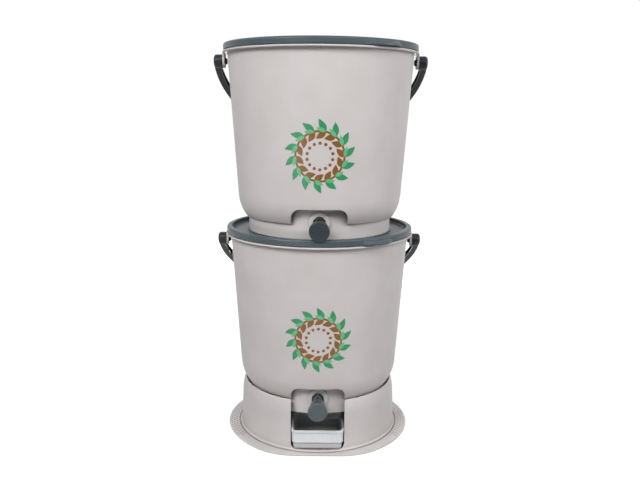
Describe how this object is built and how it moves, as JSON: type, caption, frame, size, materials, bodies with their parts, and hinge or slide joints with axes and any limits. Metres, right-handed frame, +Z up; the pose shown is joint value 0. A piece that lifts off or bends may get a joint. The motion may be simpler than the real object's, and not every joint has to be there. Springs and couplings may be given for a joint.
{
  "type": "bokashi bin",
  "caption": "Stacked airtight kitchen fermenting buckets with lids, bail handles, strainers and drain taps, on a flanged pedestal with a drip cup.",
  "frame": {"origin": "middle of the pedestal's flat underside, on the stack's common axis", "axes": "+Z up along the stack's axis, -Y to the front with the taps and the drip cup, +X right seen from the front"},
  "size_m": [0.3376, 0.3139, 0.6351],
  "materials": {
    "bin_plastic": "fine satin, warm grey",
    "dark_plastic": "satin, dark blue-grey",
    "tap_plastic": "satin, slate grey",
    "cup_plastic": "glossy, pale grey",
    "strainer_plastic": "satin, warm grey",
    "seal_rubber": "matt, black"
  },
  "bodies": {
    "base": {"base_stand": "bin_plastic"},
    "cup": {"drip_cup": "cup_plastic"},
    "lower_bin": {"lower_bucket": "bin_plastic", "lower_tap_body": "tap_plastic", "lower_tap_gasket": "seal_rubber", "lower_tap_nut": "dark_plastic"},
    "lower_lid": {"lower_lid": "dark_plastic", "lower_lid_seal": "seal_rubber"},
    "lower_handle": {"lower_handle": "dark_plastic"},
    "lower_strainer": {"lower_strainer": "strainer_plastic"},
    "lower_tap": {"lower_tap_knob": "tap_plastic", "lower_tap_o_ring": "seal_rubber"},
    "upper_bin": {"upper_bucket": "bin_plastic", "upper_tap_body": "tap_plastic", "upper_tap_gasket": "seal_rubber", "upper_tap_nut": "dark_plastic"},
    "upper_lid": {"upper_lid": "dark_plastic", "upper_lid_seal": "seal_rubber"},
    "upper_handle": {"upper_handle": "dark_plastic"},
    "upper_strainer": {"upper_strainer": "strainer_plastic"},
    "upper_tap": {"upper_tap_knob": "tap_plastic", "upper_tap_o_ring": "seal_rubber"}
  },
  "joints": [
    {"name": "cup_slide", "type": "slide", "parent": "base", "child": "cup", "axis": [0, -1, 0], "range_m": [0, 0.11]},
    {"name": "lower_bin_lift", "type": "slide", "parent": "base", "child": "lower_bin", "axis": [0, 0, 1], "range_m": [0, 0.1]},
    {"name": "lower_lid_lift", "type": "slide", "parent": "lower_bin", "child": "lower_lid", "axis": [0, 0, 1], "range_m": [0, 0.1]},
    {"name": "lower_strainer_lift", "type": "slide", "parent": "lower_bin", "child": "lower_strainer", "axis": [0, 0, 1], "range_m": [0, 0.2]},
    {"name": "lower_handle_swing", "type": "hinge", "parent": "lower_bin", "child": "lower_handle", "pos_m": [0, 0, 0.3255], "axis": [1, 0, 0], "range_deg": [0, 70]},
    {"name": "lower_tap_turn", "type": "hinge", "parent": "lower_bin", "child": "lower_tap", "pos_m": [0, -0.122, 0.0873], "axis": [0, 1, 0], "range_deg": [0, 90]},
    {"name": "upper_bin_lift", "type": "slide", "parent": "lower_lid", "child": "upper_bin", "axis": [0, 0, 1], "range_m": [0, 0.1]},
    {"name": "upper_lid_lift", "type": "slide", "parent": "upper_bin", "child": "upper_lid", "axis": [0, 0, 1], "range_m": [0, 0.1]},
    {"name": "upper_strainer_lift", "type": "slide", "parent": "upper_bin", "child": "upper_strainer", "axis": [0, 0, 1], "range_m": [0, 0.2]},
    {"name": "upper_handle_swing", "type": "hinge", "parent": "upper_bin", "child": "upper_handle", "pos_m": [0, 0, 0.6094], "axis": [1, 0, 0], "range_deg": [0, 255]},
    {"name": "upper_tap_turn", "type": "hinge", "parent": "upper_bin", "child": "upper_tap", "pos_m": [0, -0.122, 0.3712], "axis": [0, 1, 0], "range_deg": [0, 90]}
  ]
}
